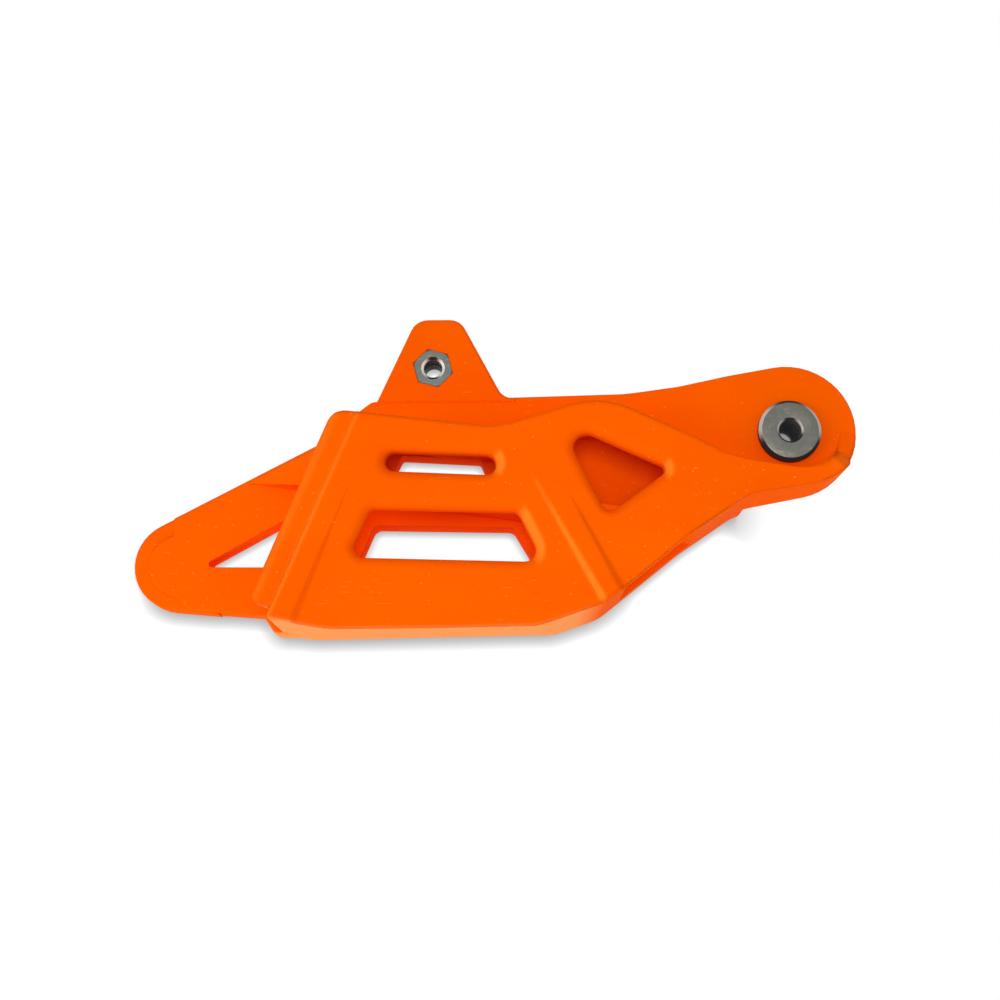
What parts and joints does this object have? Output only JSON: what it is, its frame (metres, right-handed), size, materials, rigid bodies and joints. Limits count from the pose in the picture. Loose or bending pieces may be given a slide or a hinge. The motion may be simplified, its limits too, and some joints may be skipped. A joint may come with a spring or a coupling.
{
  "type": "motorcycle chain guide",
  "caption": "One-piece moulded motorcycle chain guide with a slotted front plate, an open chain channel, a bushed mounting arm, an ear with a captive nut and an end pad.",
  "frame": {"origin": "centre of the bounding box's underside: the guide lies on its inner face, the swingarm side", "axes": "+X from the chain inlet and end pad to the bushed arm, +Y from the chain run to the mounting ear, +Z from the inner face to the outer face"},
  "size_m": [0.2096, 0.0964, 0.034],
  "materials": {
    "orange_nylon": "matte moulded plastic with a fine even grain",
    "turned_steel": "turned steel, lightly plated",
    "plated_steel": "zinc plated steel"
  },
  "bodies": {
    "root": {"guide_body": "orange_nylon", "flange_bush": "turned_steel", "hex_nut": "plated_steel"}
  },
  "joints": []
}
